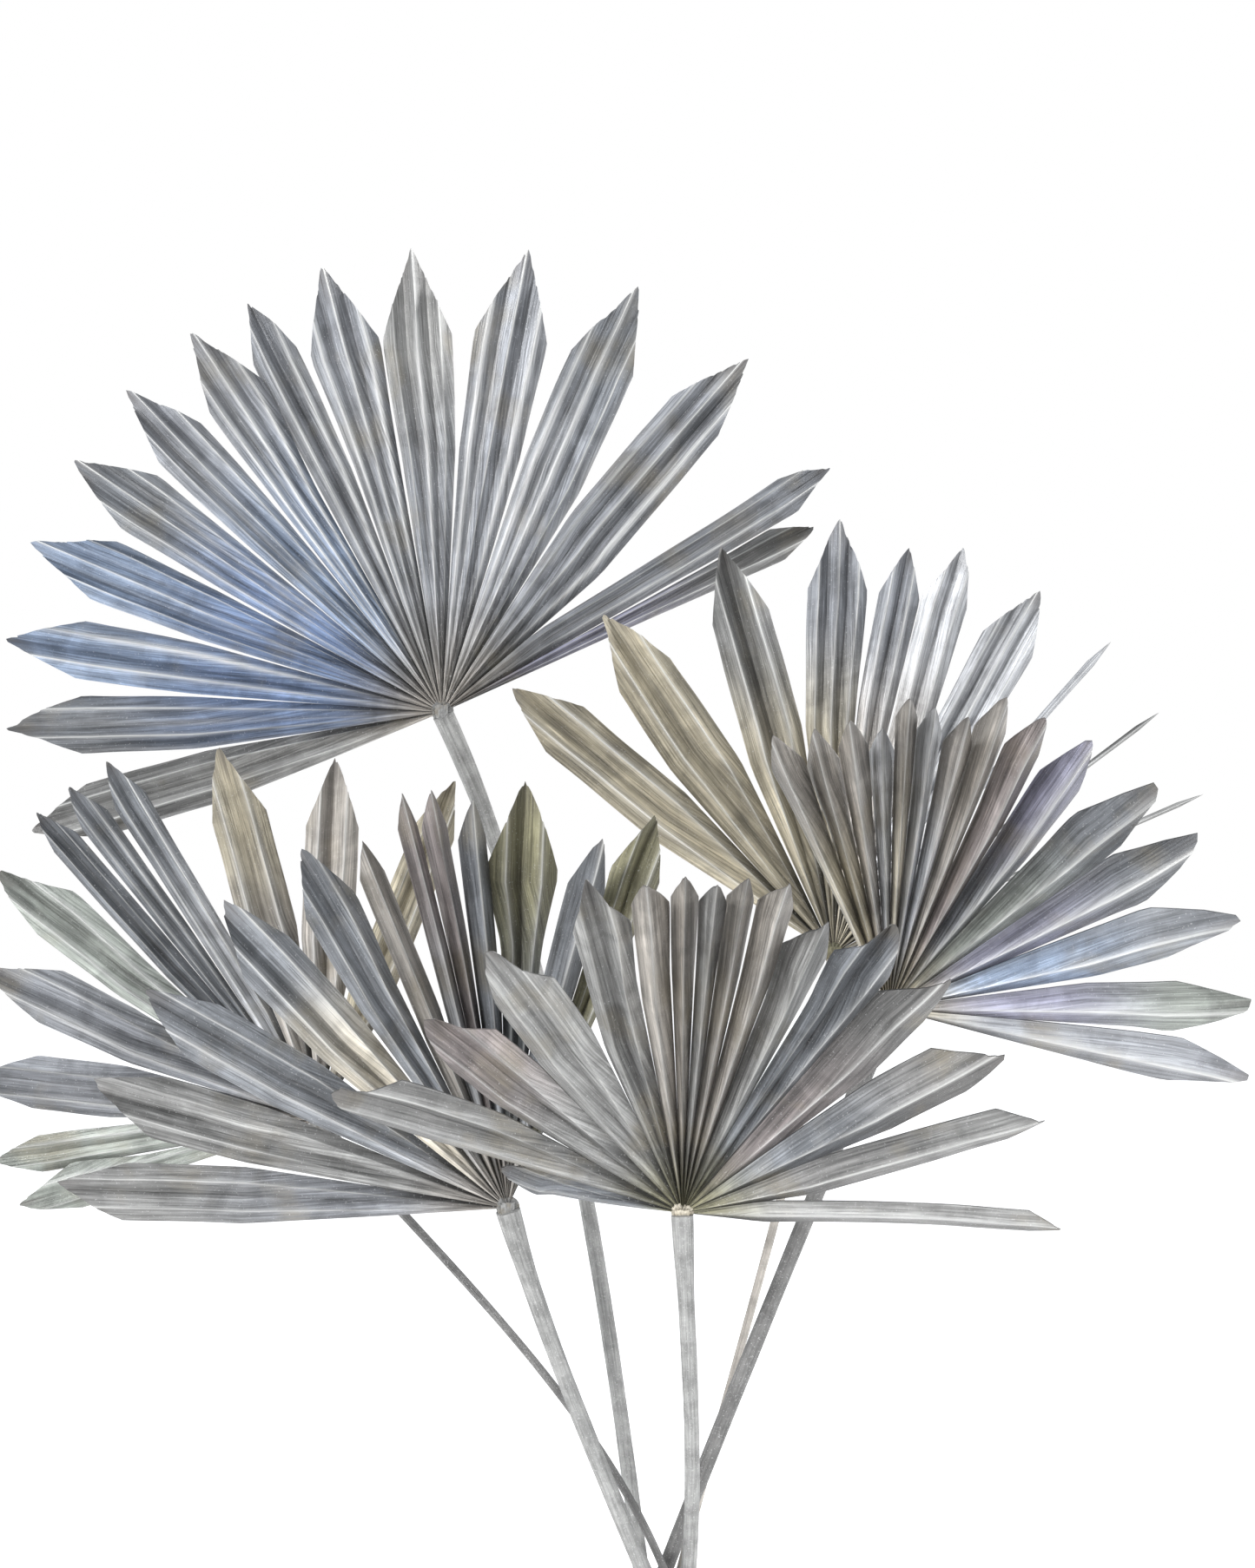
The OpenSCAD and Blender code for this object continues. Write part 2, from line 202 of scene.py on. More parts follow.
def turned(lean, turn):
    """The matrix of a blade's frame: X across, -Y out of its upper face, Z along the fan."""
    return np.array(Matrix.Rotation(math.radians(turn), 3, "Z")
                    @ Matrix.Rotation(math.radians(lean), 3, "X"))


class Piece:
    """Gathers closed shells of points and faces, with values at the points, as one mesh."""

    def __init__(self):
        self.points, self.faces, self.maps = [], [], []
        self.values = {}
        self.count = 0

    def add(self, points, faces, uv, **values):
        """Adds a shell. Each point has a place on the map and one of every value."""
        self.points.append(points)
        self.faces.extend(tuple(i + self.count for i in face) for face in faces)
        for name, value in values.items():
            self.values.setdefault(name, []).append(value)
        self.maps.append(uv)
        self.count += len(points)

    def build(self, name, material, sharp=38):
        """Makes the object. Points are metres, values become attributes of the points, and
        edges that turn by more than sharp degrees are shaded as creases."""
        mesh = bpy.data.meshes.new(name)
        points = np.concatenate(self.points)
        mesh.from_pydata(points.tolist(), [], self.faces)
        for key, parts in self.values.items():
            data = np.concatenate(parts).astype(np.float32)
            kind, field = ("FLOAT", "value") if data.ndim == 1 else ("FLOAT_VECTOR", "vector")
            mesh.attributes.new(key, kind, "POINT").data.foreach_set(field, data.ravel())
        corners = np.zeros(len(mesh.loops), np.int32)
        mesh.loops.foreach_get("vertex_index", corners)
        layer = mesh.uv_layers.new(name="OFBake")
        layer.uv.foreach_set("vector", np.concatenate(self.maps)[corners].ravel())
        mesh.polygons.foreach_set("use_smooth", [True] * len(mesh.polygons))
        mesh.set_sharp_from_angle(angle=math.radians(sharp))
        mesh.materials.append(material)
        made = bpy.data.objects.new(name, mesh)
        bpy.context.scene.collection.objects.link(made)
        return made


def grid_faces(rows, columns, start=0, flip=False):
    """Quads over a grid of points laid out row by row."""
    quads = []
    for i in range(rows - 1):
        for j in range(columns - 1):
            a = start + i * columns + j
            quad = (a, a + 1, a + columns + 1, a + columns)
            quads.append(quad[::-1] if flip else quad)
    return quads


def shell_faces(rows, columns):
    """A thin closed shell of two grids: the upper one first, then the lower one."""
    size = rows * columns
    faces = grid_faces(rows, columns) + grid_faces(rows, columns, size, flip=True)
    for i in range(rows - 1):
        for j, flip in ((0, False), (columns - 1, True)):
            a = i * columns + j
            quad = (a, a + columns, a + columns + size, a + size)
            faces.append(quad[::-1] if flip else quad)
    for j in range(columns - 1):
        for i, flip in ((0, True), (rows - 1, False)):
            a = i * columns + j
            quad = (a, a + 1, a + 1 + size, a + size)
            faces.append(quad[::-1] if flip else quad)
    return faces


# ---- One ray ----

# Where the points lie across a panel, from one fold to the next: close together at the
# folds, for the ribs there
ACROSS = (0.0, 0.08, 0.18, 0.36, 0.64, 0.82, 0.92)
# Rows of points along the body and the cut tip. A spread below 1 puts the body's rows a
# little closer together towards the tip.
BODY_ROWS, TIP_ROWS, ROW_SPREAD = 26, 7, 0.9
# Height of the rib on a fold, in mm, and how far it reaches into a panel, as a share
RIB_H, RIB_REACH = 0.28, 0.1
# Half the widest space that a ray can have to itself, in degrees
WIDEST_GAP = 9.0
# A ray that leans this many degrees from the fan's middle has the form's full skew
FULL_SKEW = 40
# Share of the cut tip by which a torn line can fall short, and the share of torn lines
TEAR, TORN_LINES = 0.05, 0.5
# Unevenness of the free end: of the ray's width as a share, the bulge of a panel as a share
# of the panel's width, and of the ray's level in mm
WIDTH_WAVE, BULGE, LEVEL_WAVE = 0.03, 0.10, 0.8
# Thickness and rib height at the tip, as shares of those at the root
TIP_T, TIP_RIB = 0.7, 0.4
# Of the paint: grain units for each mm along a ray, the range of grain seeds, the tone of
# the underside, and the share of a ray's strip of the map that is used
GRAIN_ALONG, GRAIN_SEEDS, UNDER_TONE, STRIP_USED = 0.03, 60, 0.92, 0.94
# Tone near the fan's centre, from the fan's root tone
ROOT_TONE = 0.7
# The ranges that scale the tone of a ray and of a panel, and the painted light and shade
# that makes steep pleats paler on their left panels and darker on their right ones
RAY_TONES, PANEL_TONES, SIDE_LIGHT = (0.88, 1.12), (0.72, 1.24), 0.2


def half_gap(rays, i, side):
    """Half the angle to the next ray on one side; an end ray repeats its other side."""
    j = i + side
    if not 0 <= j < len(rays):
        j = i - side
    return min(WIDEST_GAP, abs(rays[j][0] - rays[i][0]) / 2)


def tip_length(ray, form):
    """Length of the cut tip: longer by about half the height of the pleats."""
    crest = ray[2] * math.tan(math.radians(ray[4])) / (2 * ray[3])
    return max(SHORTEST_TIP, ray[2] * form[1]) + CREST_GAIN * crest


def half_width(r, ray, gap, form):
    """Half width at distance r, for an array of distances."""
    split, wide = ray[1] * form[0], ray[1] - tip_length(ray, form)
    slope = math.tan(math.radians(gap))
    fill = mix(1.0, FILL, ease(0.25 * split, split, r))
    joined = min(ray[2] / 2, FILL * split * slope)
    free = mix(joined, ray[2] / 2, np.clip((r - split) / (wide - split), 0, 1))
    return np.where(r <= split, np.minimum(ray[2] / 2, fill * r * slope), free)


def ray_shell(piece, fan, i, place, rng, map_box):
    """Adds one pleated ray to a piece. place turns blade points in mm into metres, and
    map_box is the ray's left, right and top on the map."""
    rays, form = fan["rays"], fan["form"]
    angle, length, _, pleats, slope, lift, twist, tone = rays[i]
    tip = tip_length(rays[i], form)
    wide = length - tip
    fold = math.tan(math.radians(slope))

    # Columns: position across in panels (0 to 2 * pleats), and the share across, -1 to 1
    panels = np.array([k + f for k in range(2 * pleats) for f in ACROSS] + [2 * pleats])
    share = panels / pleats - 1
    crest = 1 - np.abs(panels % 2 - 1)
    near_fold = np.minimum(panels % 1, 1 - panels % 1)
    rib = np.clip(1 - near_fold / RIB_REACH, 0, 1)
    inner = (panels > 0.01) & (panels < 2 * pleats - 0.01)

    # Rows: the body, then the cut tip, whose lines each end where the cut meets them
    body = mix(RAY_START, wide, np.linspace(0, 1, BODY_ROWS) ** ROW_SPREAD)
    steps = np.concatenate([np.zeros(BODY_ROWS), np.linspace(0, 1, TIP_ROWS + 1)[1:]])
    base = np.concatenate([body, np.full(TIP_ROWS, wide)])
    skew = form[2] * min(1, max(-1, angle / FULL_SKEW))
    off_point = (np.abs(share - skew) / (1 - np.sign(share - skew) * skew)) ** form[3]
    ragged = 1 - TEAR * rng.random(len(panels)) * (rng.random(len(panels)) < TORN_LINES)
    reach = mix(1, EDGE_REACH, off_point) * ragged
    out = base[:, None] + tip * steps[:, None] * reach[None, :]

    low, high = (half_width(base, rays[i], half_gap(rays, i, side), form)
                 for side in (-1, 1))
    panel = (low + high) / (2 * pleats)
    wave = np.sin(base / length * rng.uniform(9, 16) + rng.uniform(0, ANY_PHASE))
    x = -low[:, None] + panel[:, None] * panels[None, :]
    x = x * mix(1, 1 + WIDTH_WAVE * wave, ease(0.6, 0.8, base / length))[:, None]

    along = out / length
    loose = ease(form[0], 1, along)
    bulge = BULGE * np.sin(math.pi * (panels % 1))[None, :] * panel[:, None]
    w = (lift * along ** 3 + (crest[None, :] * fold) * panel[:, None]
         + bulge * rng.uniform(-1, 1) * loose
         + LEVEL_WAVE * loose
         * np.sin(along * rng.uniform(8, 14) + rng.uniform(0, ANY_PHASE)))
    spin = np.radians(twist) * loose
    x, w = x * np.cos(spin) - w * np.sin(spin), x * np.sin(spin) + w * np.cos(spin)

    half_t = LEAF_T / 2 / math.cos(math.radians(slope)) * mix(1, TIP_T, along)
    swell = RIB_H * rib[None, :] * ease(0, 0.15, along) * mix(1, TIP_RIB, along)
    turn = math.radians(angle)
    shells = []
    for side in (1, -1):
        proud = swell * inner * (crest > 0.5 if side > 0 else crest < 0.5)
        level = w + side * (half_t + proud)
        shells.append(np.stack([out * math.sin(turn) + x * math.cos(turn), -level,
                                out * math.cos(turn) - x * math.sin(turn)], -1))
    rows, columns = out.shape
    points = place(np.concatenate([s.reshape(-1, 3) for s in shells]))

    # Values for the paint: grain runs along the ray, tone is its colour with painted light and
    # shade in it, and the rest say where the ribs, the painted shade in the folds, the painted
    # highlight bands and the worn ends are
    flat = (panel[:, None] / math.cos(math.radians(slope))) * panels[None, :]
    seed = rng.uniform(0, GRAIN_SEEDS)
    grain = np.stack([out * GRAIN_ALONG, flat, np.full_like(out, seed)], -1).reshape(-1, 3)
    names = tone.split("/")
    mid, outer = (np.array(TONES[key]) * rng.uniform(*RAY_TONES)
                  for key in (names[0], names[-1]))
    root = np.array(TONES[fan["root_tone"]]) * ROOT_TONE
    hue = mix(root, mid, ease(0.04, 0.3, along)[..., None])
    hue = mix(hue, outer, ease(0.42, 0.8, along)[..., None])
    which = np.minimum(panels.astype(int), 2 * pleats - 1)
    # Painted light and shade, as if lit from the left: steep pleats are paler on their left
    # panels and darker on their right ones
    steep = min(1.0, max(0.35, (slope - 24) / 36))
    side_light = np.where(which % 2 == 0, 1 + SIDE_LIGHT * steep, 1 - SIDE_LIGHT * steep)
    panel_shade = rng.uniform(*PANEL_TONES, 2 * pleats)[which] * side_light
    # Painted light and shade near the fan's centre: each ray is pale on one side and almost
    # black on the other
    side_shade = np.interp(share, (-1, -0.4, 0.2, 0.6, 1), (1.7, 1.5, 0.85, 0.15, 0.08))
    root_side_shade = mix(side_shade[None, :], 1, ease(0.12, 0.5, along))
    hue = (hue * (panel_shade[None, :] * root_side_shade)[..., None]).reshape(-1, 3)
    # Painted highlight: bright bands lie along some folds, most of them crests, and fade
    # towards the tip; near the fan's centre they lie mostly on the ray's left side
    fold_highlight = rng.uniform(-0.2, 1.2, 2 * pleats + 1).clip(0, 1)[np.rint(panels).astype(int)]
    band = fold_highlight * np.clip(1.25 - near_fold / 0.34, 0, 1) * mix(0.35, 1, crest > 0.5)
    highlight_gain = fan["shine"] * (0.3 if names[0] == "tan" else 1.0)
    highlight_side = mix(np.where(share < 0, 1, 0.15)[None, :], 1, ease(0.15, 0.5, along))
    shine = (np.clip(highlight_gain * band[None, :] * ease(0.03, 0.14, along), 0, 1) * highlight_side
             * (1 - 0.75 * ease(rng.uniform(0.4, 0.75), 1.0, along)))
    # Pale ribs: the ribs' own paler paint with painted highlight on it, weaker on fans with less
    # painted highlight and near the fan's centre
    rib_highlight_gain = 0.4 + 0.6 * min(1.0, fan["shine"])
    rib_up, rib_down = (rib * inner * half * rib_highlight_gain * mix(0.25, 1, ease(0.1, 0.4, along))
                        for half in (crest > 0.5, crest < 0.5))
    # Painted shade in the bottoms of the folds, strongest on steep pleats and near the fan's centre
    fold_shade_up, fold_shade_down = (
        np.broadcast_to(np.clip(1 - height * 2.2, 0, 1) * inner, out.shape)
        * steep * mix(1.0, 0.55, ease(0.3, 0.9, along))
        for height in (crest, 1 - crest))
    worn_tip = np.broadcast_to(steps[:, None] * reach[None, :] / reach.max(), out.shape)
    tips = ease(0.45, 1, worn_tip)

    left, right, top = map_box
    strip = (right - left) / 2
    uv = np.stack([flat / flat[:, -1:].max(), out / length * top], -1).reshape(-1, 2)
    upper_map = uv * (strip * STRIP_USED, 1) + (left, 0)
    lower_map = uv * (strip * STRIP_USED, 1) + (left + strip, 0)
    piece.add(points, shell_faces(rows, columns),
              uv=np.concatenate([upper_map, lower_map]),
              grain=np.concatenate([grain, grain + (0, 0, 5)]),
              tone=np.concatenate([hue, hue * UNDER_TONE]),
              rib=np.concatenate([rib_up.ravel(), rib_down.ravel()]),
              deep=np.concatenate([fold_shade_up.ravel(), fold_shade_down.ravel()]),
              shine=np.concatenate([shine.ravel()] * 2),
              end=np.concatenate([tips.ravel()] * 2))


# ---- Materials ----


class Nodes:
    """Short names for building a material's node tree."""

    def __init__(self, name):
        self.material = bpy.data.materials.new(name)
        self.material.use_nodes = True
        self.tree = self.material.node_tree
        self.shader = self.tree.nodes["Principled BSDF"]

    def put(self, kind, **settings):
        node = self.tree.nodes.new(kind)
        for key, value in settings.items():
            setattr(node, key, value)
        return node

    def join(self, source, target):
        self.tree.links.new(source, target)

    def attribute(self, name, output="Fac"):
        return self.put("ShaderNodeAttribute", attribute_name=name).outputs[output]

    def noise(self, vector, scale, detail=3.0, rough=0.55, distortion=0.0):
        node = self.put("ShaderNodeTexNoise")
        self.join(vector, node.inputs["Vector"])
        for key, value in (("Scale", scale), ("Detail", detail), ("Roughness", rough),
                           ("Distortion", distortion)):
            node.inputs[key].default_value = value
        return node.outputs["Fac"]

    def span(self, value, low, high, to_low, to_high):
        """Carries low..high to to_low..to_high, and goes no further."""
        node = self.put("ShaderNodeMapRange")
        self.join(value, node.inputs["Value"])
        for key, number in (("From Min", low), ("From Max", high), ("To Min", to_low),
                            ("To Max", to_high)):
            node.inputs[key].default_value = number
        return node.outputs["Result"]

    def math(self, operation, a, b):
        node = self.put("ShaderNodeMath", operation=operation)
        for socket, value in zip(node.inputs, (a, b)):
            if isinstance(value, (int, float)):
                socket.default_value = value
            else:
                self.join(value, socket)
        return node.outputs[0]

    def blend(self, factor, a, b, kind="MIX"):
        """Mixes colours. Sockets 0, 6 and 7 are the factor and the two colours."""
        node = self.put("ShaderNodeMix", data_type="RGBA", blend_type=kind)
        for key, value in ((0, factor), (6, a), (7, b)):
            if isinstance(value, (int, float)):
                node.inputs[key].default_value = value
            elif isinstance(value, tuple):
                node.inputs[key].default_value = (*value, 1.0)
            else:
                self.join(value, node.inputs[key])
        return node.outputs[2]

    def bump(self, height, distance, strength):
        node = self.put("ShaderNodeBump")
        node.inputs["Distance"].default_value = distance
        node.inputs["Strength"].default_value = strength
        self.join(height, node.inputs["Height"])
        self.join(node.outputs["Normal"], self.shader.inputs["Normal"])

    def position(self):
        return self.put("ShaderNodeTexCoord").outputs["Object"]


# What the paint is mixed with: bare leaf and cut wood, painted highlight, pale rib paint
# with painted highlight, worn ends, painted shade in the bottoms of folds, and dust
BARE_LEAF, CUT_WOOD = (0.24, 0.205, 0.135), (0.50, 0.40, 0.26)
HIGHLIGHT_COLOUR, RIB_PAINT_AND_HIGHLIGHT = (0.84, 0.84, 0.84), (0.80, 0.80, 0.78)
WORN_END, FOLD_SHADE = (0.12, 0.11, 0.105), (0.022, 0.019, 0.016)
LEAF_DUST, STEM_DUST = (0.85, 0.85, 0.86), (0.70, 0.70, 0.69)
PAD_FIBRE, RUBBER, RUBBER_DUST = (0.22, 0.18, 0.12), (0.19, 0.17, 0.14), (0.46, 0.46, 0.47)


def leaf_paint():
    """Silver paint over a fibrous leaf: streaks along the rays, pale ribs with painted
    highlight, painted highlight bands, painted shade in the folds, and bare leaf where the
    paint is thin."""
    n = Nodes("silver_leaf_paint")
    grain = n.attribute("grain", "Vector")
    fine = n.noise(grain, 1.6, 5.0, 0.62)
    broad = n.noise(grain, 0.42, 3.0, 0.5)
    patch = n.noise(n.position(), 38.0, 3.0, 0.55)
    smudge = n.noise(n.position(), 55.0, 4.0, 0.6, 0.8)
    dust = n.noise(n.position(), 1500.0, 2.0, 0.6)
    streak = n.math("MULTIPLY", n.span(fine, 0.32, 0.68, 0.56, 1.44),
                    n.span(broad, 0.35, 0.65, 0.72, 1.28))
    streak = n.math("MULTIPLY", streak, n.span(smudge, 0.36, 0.6, 0.7, 1.12))
    colour = n.blend(1.0, n.attribute("tone", "Color"), streak, "MULTIPLY")
    bare = n.math("MULTIPLY", n.span(patch, 0.56, 0.70, 0, 0.5), n.span(fine, 0.4, 0.6, 0.4, 1))
    colour = n.blend(bare, colour, BARE_LEAF)
    # Painted highlight: bright bands along the folds
    shine = n.math("MULTIPLY", n.attribute("shine"), n.span(fine, 0.34, 0.6, 0.35, 1.0))
    colour = n.blend(shine, colour, HIGHLIGHT_COLOUR)
    worn_end = n.math("MULTIPLY", n.attribute("end"), n.span(broad, 0.4, 0.6, 0.1, 0.75))
    colour = n.blend(worn_end, colour, WORN_END)
    # Painted shade in the bottoms of the folds
    fold_shade_amount = n.math("MULTIPLY", n.attribute("deep"), 0.9)
    colour = n.blend(fold_shade_amount, colour, FOLD_SHADE)
    # Pale rib paint with painted highlight on it
    rib = n.math("MULTIPLY", n.attribute("rib"), n.span(broad, 0.3, 0.6, 0.35, 1.0))
    colour = n.blend(rib, colour, RIB_PAINT_AND_HIGHLIGHT)
    specks = n.math("MULTIPLY", n.span(dust, 0.64, 0.72, 0, 0.26),
                    n.span(n.attribute("end"), 0, 1, 1, 0.2))
    colour = n.blend(specks, colour, LEAF_DUST)
    n.join(colour, n.shader.inputs["Base Color"])
    n.join(n.span(fine, 0.3, 0.7, 0.34, 0.52), n.shader.inputs["Roughness"])
    n.shader.inputs["Metallic"].default_value = 0.5
    n.bump(n.math("ADD", fine, n.math("MULTIPLY", dust, 0.25)), 0.00025, 0.9)
    return n.material


def stem_paint():
    """Matte grey silver over a fibrous stem, bare at the cut end."""
    n = Nodes("stem_paint")
    grain = n.attribute("grain", "Vector")
    fine = n.noise(grain, 1.3, 5.0, 0.6)
    patch = n.noise(n.position(), 160.0, 4.0, 0.6)
    dust = n.noise(n.position(), 1800.0, 2.0, 0.6)
    streak = n.math("MULTIPLY", n.span(fine, 0.3, 0.7, 0.62, 1.3),
                    n.span(patch, 0.35, 0.62, 0.75, 1.15))
    colour = n.blend(1.0, n.attribute("tone", "Color"), streak, "MULTIPLY")
    colour = n.blend(n.span(dust, 0.6, 0.7, 0, 0.45), colour, STEM_DUST)
    colour = n.blend(n.attribute("cut"), colour, CUT_WOOD)
    n.join(colour, n.shader.inputs["Base Color"])
    n.join(n.span(fine, 0.3, 0.7, 0.45, 0.65), n.shader.inputs["Roughness"])
    n.shader.inputs["Metallic"].default_value = 0.3
    n.bump(n.math("ADD", fine, n.math("MULTIPLY", patch, 0.6)), 0.0005, 0.9)
    return n.material


def pad_paint():
    """Fibrous hastula with a mist of silver."""
    n = Nodes("hastula_paint")
    grain = n.attribute("grain", "Vector")
    fine = n.noise(grain, 1.4, 4.0, 0.6)
    patch = n.noise(n.position(), 320.0, 3.0, 0.55)
    colour = n.blend(1.0, n.attribute("tone", "Color"), n.span(fine, 0.3, 0.7, 0.55, 1.3),
                     "MULTIPLY")
    colour = n.blend(n.span(patch, 0.48, 0.68, 0, 0.6), colour, PAD_FIBRE)
    n.join(colour, n.shader.inputs["Base Color"])
    n.join(n.span(patch, 0.3, 0.7, 0.5, 0.7), n.shader.inputs["Roughness"])
    n.shader.inputs["Metallic"].default_value = 0.15
    n.bump(fine, 0.0003, 0.9)
    return n.material


def band_rubber():
    """Grey rubber with paint dust on it."""
    n = Nodes("band_rubber")
    dust = n.noise(n.position(), 900.0, 4.0, 0.65)
    soft = n.noise(n.position(), 140.0, 2.0, 0.5)
    colour = n.blend(n.span(dust, 0.48, 0.62, 0, 0.8), RUBBER, RUBBER_DUST)
    n.join(colour, n.shader.inputs["Base Color"])
    n.join(n.span(soft, 0.3, 0.7, 0.5, 0.75), n.shader.inputs["Roughness"])
    n.bump(dust, 0.0001, 0.6)
    return n.material


leaf, stem_skin, pad_skin, rubber = leaf_paint(), stem_paint(), pad_paint(), band_rubber()

# ---- Fans ----

# How high up the map the rays reach
MAP_TOP = 0.98


def blade_place(fan):
    """A function that carries points of the fan's blade, in mm, to their place in metres."""
    frame_of = turned(fan["lean"], fan["turn"])
    centre = np.array(fan["centre"]) * MM + np.array(AXIS)
    return lambda points: points @ frame_of.T * MM + centre


def build_blade(name, fan, rng):
    """The rays of one fan, as three pieces that each stand for the part's node."""
    low, high = fan["cuts"]
    groups = (("left", -math.inf, low), ("top", low, high), ("right", high, math.inf))
    place = blade_place(fan)
    for group, first, last in groups:
        chosen = [i for i, ray in enumerate(fan["rays"]) if first <= ray[0] < last]
        piece = Piece()
        for number, i in enumerate(chosen):
            box = (number / len(chosen), (number + 1) / len(chosen), MAP_TOP)
            ray_shell(piece, fan, i, place, rng, box)
        node = f"{name}_rays_{group}"
        made = piece.build(f"{name}_blade_{group}", leaf)
        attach(made, "root")
        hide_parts(node)


# ---- Stems ----

# Points round a stem, and rows of points above the band's middle and below it
STEM_SIDES, STEM_ROWS, FOOT_ROWS = 28, 60, 20
# How far short of the fan's centre the stem's line ends, and the height of its pointed end
HUB_DROP, HUB_CAP = 1.0, 1.2
# Fine grooves round the stem: how many, and how deep, as a share of its radius
GROOVES, GROOVE_DEPTH = 9, 0.035
# Near the fan the stem's upper side is flatter and the stem is wider, as shares
FLATTER, WIDER = 0.16, 0.25
# Grain units for each mm along a stem and for a full turn round it, and between stems
STEM_GRAIN, ROUND_GRAIN, STEM_SEEDS = 0.05, 18, 9
# How much paler a stem is than its tone, and how bare the rim of its cut end is
STEM_LIFT, CUT_RIM = 1.25, 0.7


def stem_points(fan):
    """The stem's line in mm about the band's axis: straight up into the band, then a cubic
    that ends just short of the fan's centre."""
    place = math.radians(fan["place"])
    tie = np.array([TIE_R * math.cos(place), TIE_R * math.sin(place), TIE_Z / MM])
    foot = np.array([*fan["foot"], 0.0])
    neck = unit(np.array([*fan["neck"], 1.0]))
    end = np.array(fan["centre"]) - HUB_DROP * neck
    reach = np.linalg.norm(end - tie) / 3
    a, b, c, d = tie, tie + reach * unit(tie - foot), end - reach * neck, end
    t = np.linspace(0, 1, STEM_ROWS)[:, None]
    lower = mix(foot, tie, np.linspace(0, 1, FOOT_ROWS)[:, None])
    curve = a * (1 - t) ** 3 + 3 * b * t * (1 - t) ** 2 + 3 * c * t ** 2 * (1 - t) + d * t ** 3
    return np.concatenate([lower[:-1], curve])


def build_stem(name, fan, rng):
    """A grooved, slightly uneven stalk with a cut end that stands flat."""
    path = stem_points(fan)
    runs = np.concatenate([[0], np.cumsum(np.linalg.norm(np.diff(path, axis=0), axis=1))])
    rows = len(path)
    in_band = np.searchsorted(path[:, 2], TIE_Z / MM) - 1
    share = np.clip((runs - runs[in_band]) / (runs[-1] - runs[in_band]), 0, 1)
    lower = np.clip(runs / runs[in_band], 0, 1)
    diameter = np.where(share > 0, mix(TIE_D, NECK_D, share ** 3), mix(FOOT_D, TIE_D, lower))
    diameter = diameter * fan["thick"]
    phase = rng.uniform(0, ANY_PHASE)
    angles = np.linspace(0, 2 * math.pi, STEM_SIDES, endpoint=False)
    groove = (1 - GROOVE_DEPTH * (0.5 + 0.5 * np.sin(angles * GROOVES + phase))
              - 0.01 * np.sin(angles * 4))
    tangent = np.gradient(path, axis=0)
    tangent /= np.linalg.norm(tangent, axis=1)[:, None]
    e1 = np.cross([0, 1, 0], tangent)
    e1 /= np.linalg.norm(e1, axis=1)[:, None]
    e2 = np.cross(tangent, e1)
    wobble = 1 + 0.018 * np.sin(runs / 17 + phase) + 0.012 * np.sin(runs / 6.3 + 2 * phase)
    flat = 1 - FLATTER * np.clip(-np.sin(angles), 0, 1)[None, :] ** 2 * share[:, None]
    flare = 1 + WIDER * ease(0.8, 1, share)[:, None] * np.abs(np.cos(angles))[None, :]
    radius = (diameter / 2 * wobble)[:, None] * groove[None, :] * flat * flare
    ring = (path[:, None, :] + radius[..., None]
            * (np.cos(angles)[None, :, None] * e1[:, None, :]
               + np.sin(angles)[None, :, None] * e2[:, None, :]))
    # The cut end lies in the standing plane
    drop = ring[0, :, 2] / tangent[0, 2]
    ring[0] -= tangent[0][None, :] * drop[:, None]
    points = ring.reshape(-1, 3)
    hub_end, cut_end = len(points), len(points) + 1
    points = np.concatenate([points, [path[-1] + tangent[-1] * HUB_CAP], [path[0]]])
    faces = []
    for i in range(rows - 1):
        for j in range(STEM_SIDES):
            k = (j + 1) % STEM_SIDES
            faces.append((i * STEM_SIDES + j, i * STEM_SIDES + k,
                          (i + 1) * STEM_SIDES + k, (i + 1) * STEM_SIDES + j))
    last = (rows - 1) * STEM_SIDES
    for j in range(STEM_SIDES):
        k = (j + 1) % STEM_SIDES
        faces.append((last + j, last + k, hub_end))
        faces.append((k, j, cut_end))
    seed = phase * STEM_SEEDS
    grain = np.stack([np.repeat(runs * STEM_GRAIN, STEM_SIDES),
                      np.tile(angles / (2 * math.pi) * ROUND_GRAIN, rows),
                      np.full(rows * STEM_SIDES, seed)], -1)
    grain = np.concatenate([grain, [[runs[-1] * STEM_GRAIN, 0, seed]], [[0, 3, seed]]])
    cut = np.zeros(len(points))
    cut[:STEM_SIDES] = CUT_RIM
    cut[cut_end] = 1.0
    uv = np.stack([np.concatenate([np.tile(angles / MAP_TURN, rows), [0.5, 0.5]]),
                   np.concatenate([np.repeat(runs / runs[-1], STEM_SIDES), [1, 0]])], -1)
    piece = Piece()
    tone = np.tile(np.array(TONES[fan["stem_tone"]]) * STEM_LIFT, (len(points), 1))
    piece.add(points * MM + np.array(AXIS), faces, uv=uv, grain=grain, cut=cut, tone=tone)
    made = piece.build(f"{name}_stalk", stem_skin, sharp=50)
    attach(made, "root")
    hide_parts(f"{name}_stem")


# ---- Hastulas ----

# The pad: rows of points on each side, points round it, half thickness and radius, ribs
# round its rim and their height
PAD_ROWS, PAD_SIDES, PAD_H, PAD_R, PAD_RIBS, PAD_RIB_H = 9, 60, 1.2, 3.7, 15, 0.30
# The pad's tone, from the fan's pad tone
PAD_TONE = 0.8
# The flap: rows of points, half its size, half its thickness, how torn its rim is as a
# share, and its unevenness in mm
FLAP_ROWS, FLAP, FLAP_T, FLAP_TEAR, FLAP_WAVE = 9, 2.2, 0.2, 0.10, 0.12
# Millimetres across the hastula's map, and grain units for each mm up the fan
HEART_MAP, HEART_GRAIN = 12, 0.4


def hastula_front(u, v):
    """How far the flap stands in front of the blade's plane, in mm, with u and v from -1 to
    1 across it and up it."""
    return 1.35 + 0.25 * (1 - u * u) + 0.25 * v


